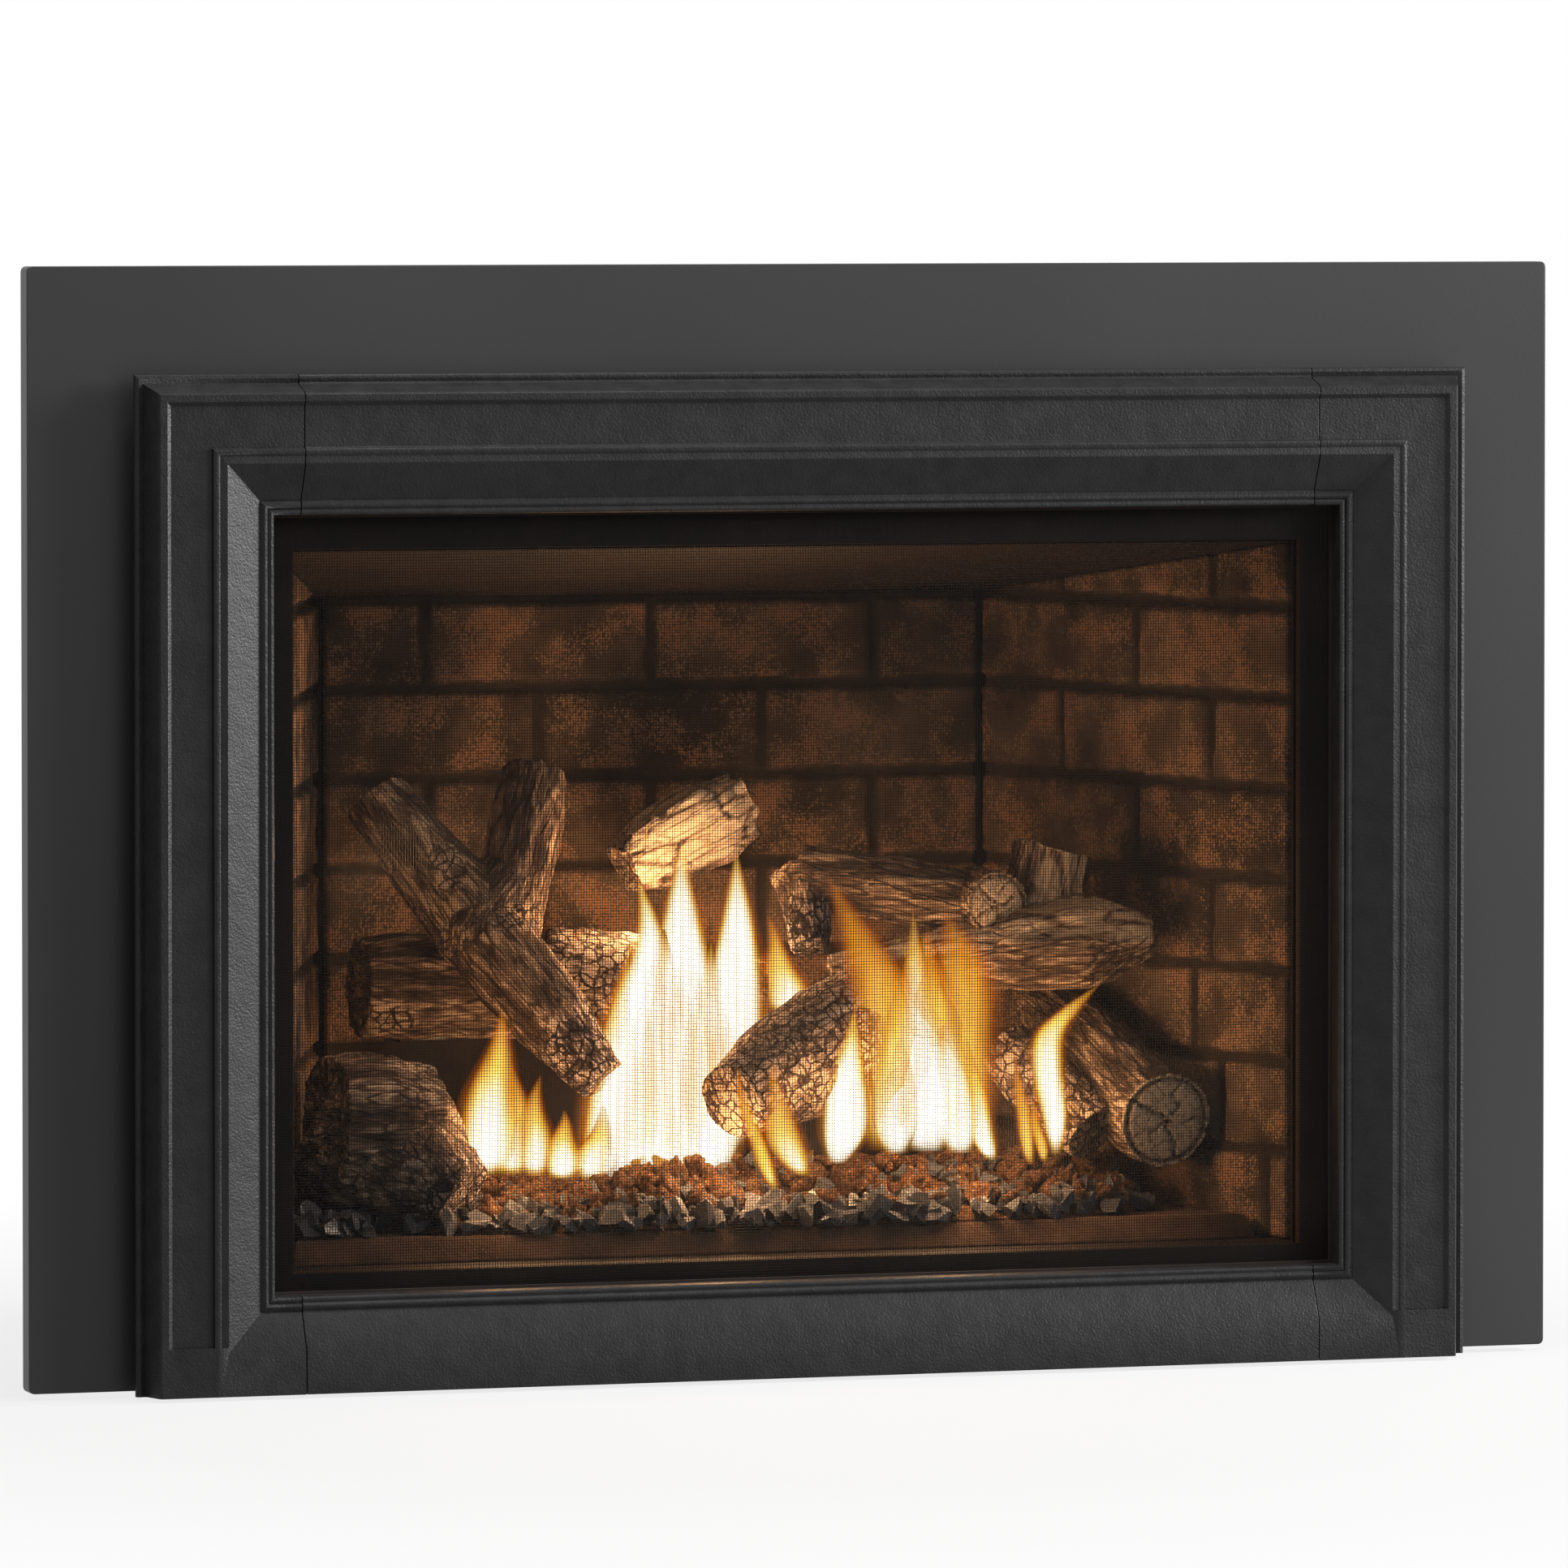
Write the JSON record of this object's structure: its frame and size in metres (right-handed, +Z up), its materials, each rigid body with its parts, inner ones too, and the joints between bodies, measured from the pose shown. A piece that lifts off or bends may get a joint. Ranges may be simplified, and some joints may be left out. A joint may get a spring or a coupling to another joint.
{
  "type": "gas fireplace insert",
  "caption": "Direct-vent gas fireplace insert with a moulded black cast-iron front, wire barrier screen, brick-lined firebox, ceramic log set, flat steel surround, blower and gas controls.",
  "frame": {"origin": "underside of the base plate, on the middle line, in the plane of the surround's front face", "axes": "+X to the right seen from the room, +Y back into the chimney, +Z up"},
  "size_m": [1.2, 0.4905, 0.838],
  "materials": {
    "cast_iron": "matte black paint over a pebbled sand-cast face",
    "surround": "satin charcoal powder coat",
    "black_steel": "matte black high-temperature paint",
    "screen_wire": "black painted fine woven wire",
    "galvanised": "galvanised sheet with a faint spangle",
    "ceramic_glass": "clear glass-ceramic",
    "gasket": "woven glass-fibre rope",
    "brick": "cast refractory brick, mottled brown and tan, dark mortar",
    "bark": "cast ceramic fibre, painted as brown bark",
    "split_wood": "cast ceramic fibre, painted as pale split wood",
    "char": "cast ceramic fibre, painted as charred wood",
    "ember": "rock wool tufts and charcoal pieces",
    "refractory": "rough dark refractory",
    "aluminium": "mill finish",
    "brass": "plain machined",
    "black_plastic": "matte black"
  },
  "bodies": {
    "insert": {"surround_panel": "surround", "hanger_bracket_left": "galvanised", "hanger_bracket_right": "galvanised", "face_frame": "galvanised", "casing_wrap": "galvanised", "casing_top": "galvanised", "base_plate": "galvanised", "firebox_wrap": "black_steel", "firebox_top": "black_steel", "firebox_floor": "black_steel", "firebox_front_frame": "black_steel", "baffle": "black_steel", "brick_panel_back": "brick", "brick_panel_left": "brick", "brick_panel_right": "brick", "glass_frame": "black_steel", "glass_panel": "ceramic_glass", "glass_gasket": "gasket", "latch_bracket_left": "galvanised", "latch_bracket_right": "galvanised", "burner_tray": "refractory", "cut_log": "bark", "left_split_log": "bark", "diagonal_log": "bark", "low_log": "char", "char_log": "char", "rear_left_log": "bark", "fork_log": "bark", "long_log": "split_wood", "elbow_log": "bark", "pale_split_log": "split_wood", "ember_bed": "ember", "rear_log_shelf": "black_steel", "burner_venturi": "aluminium", "control_panel": "galvanised", "gas_valve": "aluminium", "switch_housing": "black_plastic", "gas_inlet_pipe": "brass", "burner_pipe": "aluminium", "pilot_assembly": "aluminium", "blower_housing": "galvanised", "blower_motor": "black_steel", "exhaust_collar": "aluminium", "intake_collar": "aluminium"},
    "front": {"front_left_casting": "cast_iron", "front_right_casting": "cast_iron", "front_top_rail": "cast_iron", "front_bottom_rail": "cast_iron", "screen_frame": "black_steel", "barrier_screen": "screen_wire", "joining_plate_left": "galvanised", "joining_plate_right": "galvanised"},
    "glass_latch_left": {"glass_latch_left": "galvanised"},
    "glass_latch_right": {"glass_latch_right": "galvanised"},
    "air_shutter": {"air_shutter": "aluminium"},
    "valve_knob": {"valve_knob": "black_plastic"},
    "flame_knob": {"flame_knob": "black_plastic"},
    "igniter_button": {"igniter_button": "brass"},
    "rocker_switch": {"rocker_switch": "black_plastic"},
    "blower_rotor": {"blower_rotor": "galvanised"}
  },
  "joints": [
    {"name": "front_lift", "type": "slide", "parent": "insert", "child": "front", "axis": [0, -0.9397, 0.342], "range_m": [0, 0.35]},
    {"name": "glass_latch_left_turn", "type": "hinge", "parent": "insert", "child": "glass_latch_left", "pos_m": [-0.25, -0.006, 0.05], "axis": [0, -1, 0], "range_deg": [0, 90]},
    {"name": "glass_latch_right_turn", "type": "hinge", "parent": "insert", "child": "glass_latch_right", "pos_m": [0.25, -0.006, 0.05], "axis": [0, 1, 0], "range_deg": [0, 90]},
    {"name": "valve_knob_turn", "type": "hinge", "parent": "insert", "child": "valve_knob", "pos_m": [0.184, 0.012, 0.025], "axis": [0, -1, 0], "range_deg": [0, 160]},
    {"name": "flame_knob_turn", "type": "hinge", "parent": "insert", "child": "flame_knob", "pos_m": [0.218, 0.012, 0.025], "axis": [0, -1, 0], "range_deg": [0, 90]},
    {"name": "igniter_push", "type": "slide", "parent": "insert", "child": "igniter_button", "axis": [0, 1, 0], "range_m": [0, 0.004], "stiffness_N_per_m": 800, "springref_m": -0.002},
    {"name": "rocker_tilt", "type": "hinge", "parent": "insert", "child": "rocker_switch", "pos_m": [0.31, 0.026, 0.025], "axis": [1, 0, 0], "range_deg": [-18, 0]},
    {"name": "air_shutter_slide", "type": "slide", "parent": "insert", "child": "air_shutter", "axis": [0, -1, 0], "range_m": [0, 0.012]},
    {"name": "blower_spin", "type": "hinge", "parent": "insert", "child": "blower_rotor", "pos_m": [-0.07, 0.318, 0.042], "axis": [1, 0, 0], "continuous": true}
  ]
}
